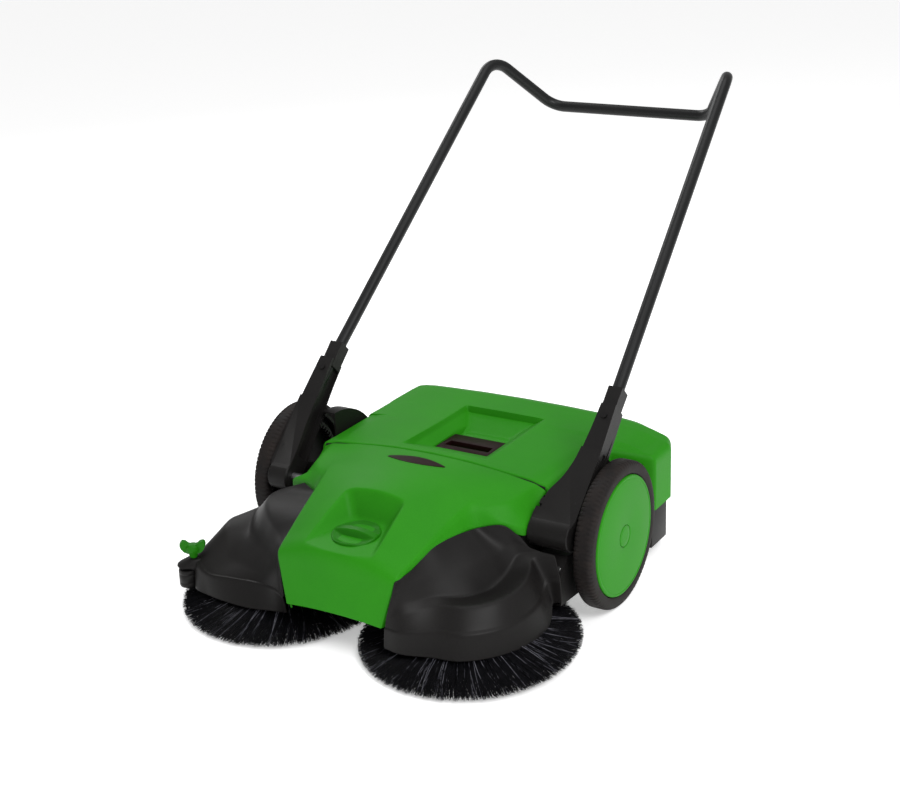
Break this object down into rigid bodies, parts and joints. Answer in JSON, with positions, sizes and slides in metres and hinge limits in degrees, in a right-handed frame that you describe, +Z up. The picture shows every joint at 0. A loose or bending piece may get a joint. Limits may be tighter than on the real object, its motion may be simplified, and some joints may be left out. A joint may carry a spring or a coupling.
{
  "type": "push carpet sweeper",
  "caption": "Push sweeper with two tilted disc brushes, a roller brush, wheel-driven gears, a pull-out dirt bin and a folding tubular handle.",
  "frame": {"origin": "middle of the bounding box's base, on the floor", "axes": "+Z up, -Y towards the front brushes, +X the machine's left side"},
  "size_m": [0.77, 1.2476, 0.8407],
  "materials": {
    "green_plastic": "vivid green plastic with a satin grain",
    "green_knob": "smooth green plastic",
    "black_plastic": "charcoal black plastic with a satin grain",
    "maroon_plastic": "smooth maroon-black plastic",
    "tube_paint": "satin black powder coat on steel tube",
    "tyre_rubber": "worn brown-black rubber",
    "belt_rubber": "matt black rubber",
    "steel": "plain bright steel",
    "gear_plastic": "cream gear plastic",
    "bearing_bush": "sintered bronze",
    "bristle": "black bristles"
  },
  "bodies": {
    "chassis": {"chassis_frame": "black_plastic", "hood": "green_plastic", "badge": "maroon_plastic", "left_fender": "black_plastic", "right_fender": "black_plastic", "right_wheel_guard": "black_plastic", "left_belt_cover": "black_plastic", "right_belt_cover": "black_plastic", "wheel_axles": "steel", "handle_pivot_pins": "steel", "shaft_bearings": "bearing_bush", "left_brush_belt": "belt_rubber", "right_brush_belt": "belt_rubber", "roller_belt": "belt_rubber", "hood_screws": "steel", "guide_arm": "black_plastic", "guide_roller_pin": "steel", "lever_pin": "steel", "dirt_lip": "belt_rubber"},
    "left_wheel": {"left_tyre": "tyre_rubber", "left_wheel_rim": "black_plastic", "left_hub_cap": "green_plastic", "left_centre_plug": "green_plastic"},
    "left_pinion": {"left_drive_pinion": "gear_plastic", "left_pinion_shaft": "steel"},
    "left_bevel": {"left_bevel_pinion": "gear_plastic", "left_bevel_shaft": "steel"},
    "left_brush": {"left_brush_plate": "black_plastic", "left_brush_bristles": "bristle", "left_brush_spindle": "steel", "left_bevel_gear": "gear_plastic"},
    "right_wheel": {"right_tyre": "tyre_rubber", "right_wheel_rim": "black_plastic", "right_hub_cap": "green_plastic", "right_centre_plug": "green_plastic"},
    "right_pinion": {"right_drive_pinion": "gear_plastic", "right_pinion_shaft": "steel"},
    "right_bevel": {"right_bevel_pinion": "gear_plastic", "right_bevel_shaft": "steel"},
    "right_brush": {"right_brush_plate": "black_plastic", "right_brush_bristles": "bristle", "right_brush_spindle": "steel", "right_bevel_gear": "gear_plastic"},
    "roller": {"roller_core": "black_plastic", "roller_bristles": "bristle"},
    "handle": {"handle_tube": "tube_paint", "left_handle_bracket": "black_plastic", "right_handle_bracket": "black_plastic", "handle_screws": "tube_paint"},
    "knob": {"height_knob": "green_knob", "height_screw": "steel"},
    "lever": {"support_lever": "steel"},
    "support_wheel": {"support_roller": "belt_rubber"},
    "guide_wheel": {"guide_roller": "belt_rubber"},
    "guide_clamp": {"guide_knob": "green_knob"},
    "bin": {"bin_top": "green_plastic", "bin_tub": "black_plastic"},
    "carry": {"carry_handle": "maroon_plastic"}
  },
  "joints": [
    {"name": "left_wheel_spin", "type": "hinge", "parent": "chassis", "child": "left_wheel", "pos_m": [0.343, -0.17262, 0.135], "axis": [1, 0, 0], "continuous": true},
    {"name": "left_pinion_spin", "type": "hinge", "parent": "chassis", "child": "left_pinion", "pos_m": [0.25, -0.23516, 0.10584], "axis": [1, 0, 0], "continuous": true},
    {"name": "left_bevel_spin", "type": "hinge", "parent": "chassis", "child": "left_bevel", "pos_m": [0.243, -0.4353, 0.07789], "axis": [1, 0, 0], "continuous": true},
    {"name": "left_brush_spin", "type": "hinge", "parent": "chassis", "child": "left_brush", "pos_m": [0.193, -0.43162, 0.016], "axis": [0, -0.0593, 0.9982], "continuous": true},
    {"name": "right_wheel_spin", "type": "hinge", "parent": "chassis", "child": "right_wheel", "pos_m": [-0.343, -0.17262, 0.135], "axis": [1, 0, 0], "continuous": true},
    {"name": "right_pinion_spin", "type": "hinge", "parent": "chassis", "child": "right_pinion", "pos_m": [-0.25, -0.23516, 0.10584], "axis": [1, 0, 0], "continuous": true},
    {"name": "right_bevel_spin", "type": "hinge", "parent": "chassis", "child": "right_bevel", "pos_m": [-0.243, -0.4353, 0.07789], "axis": [1, 0, 0], "continuous": true},
    {"name": "right_brush_spin", "type": "hinge", "parent": "chassis", "child": "right_brush", "pos_m": [-0.193, -0.43162, 0.016], "axis": [0, -0.0593, 0.9982], "continuous": true},
    {"name": "roller_spin", "type": "hinge", "parent": "chassis", "child": "roller", "pos_m": [0, -0.19562, 0.046], "axis": [1, 0, 0], "continuous": true},
    {"name": "handle_fold", "type": "hinge", "parent": "chassis", "child": "handle", "pos_m": [0, -0.28662, 0.172], "axis": [1, 0, 0], "range_deg": [0, 95]},
    {"name": "height_turn", "type": "hinge", "parent": "chassis", "child": "knob", "pos_m": [0, -0.47862, 0.194], "axis": [0, -0.0837, 0.9965], "range_deg": [0, 315]},
    {"name": "lever_swing", "type": "hinge", "parent": "chassis", "child": "lever", "pos_m": [0, -0.38662, 0.108], "axis": [1, 0, 0], "range_deg": [0, 3.44]},
    {"name": "support_roll", "type": "hinge", "parent": "lever", "child": "support_wheel", "pos_m": [0, -0.29462, 0.02], "axis": [1, 0, 0], "continuous": true},
    {"name": "guide_roll", "type": "hinge", "parent": "chassis", "child": "guide_wheel", "pos_m": [-0.346, -0.52862, 0.055], "axis": [0, 0, 1], "continuous": true},
    {"name": "guide_clamp_turn", "type": "hinge", "parent": "chassis", "child": "guide_clamp", "pos_m": [-0.334, -0.52362, 0.086], "axis": [0, 0, 1], "range_deg": [0, 180]},
    {"name": "bin_pull", "type": "slide", "parent": "chassis", "child": "bin", "axis": [0, 1, 0], "range_m": [0, 0.38]},
    {"name": "carry_lift", "type": "hinge", "parent": "bin", "child": "carry", "pos_m": [0, -0.12062, 0.209], "axis": [1, 0, 0], "range_deg": [0, 85]}
  ],
  "couplings": [
    {"joint": "left_pinion_spin", "follows": "left_wheel_spin", "ratio": 4.2857},
    {"joint": "left_bevel_spin", "follows": "left_wheel_spin", "ratio": 4.2857},
    {"joint": "left_brush_spin", "follows": "left_wheel_spin", "ratio": -4.2857},
    {"joint": "right_pinion_spin", "follows": "right_wheel_spin", "ratio": 4.2857},
    {"joint": "right_bevel_spin", "follows": "right_wheel_spin", "ratio": 4.2857},
    {"joint": "right_brush_spin", "follows": "right_wheel_spin", "ratio": 4.2857},
    {"joint": "roller_spin", "follows": "left_wheel_spin", "ratio": 2.6786},
    {"joint": "lever_swing", "follows": "height_turn", "ratio": 0.010921}
  ]
}
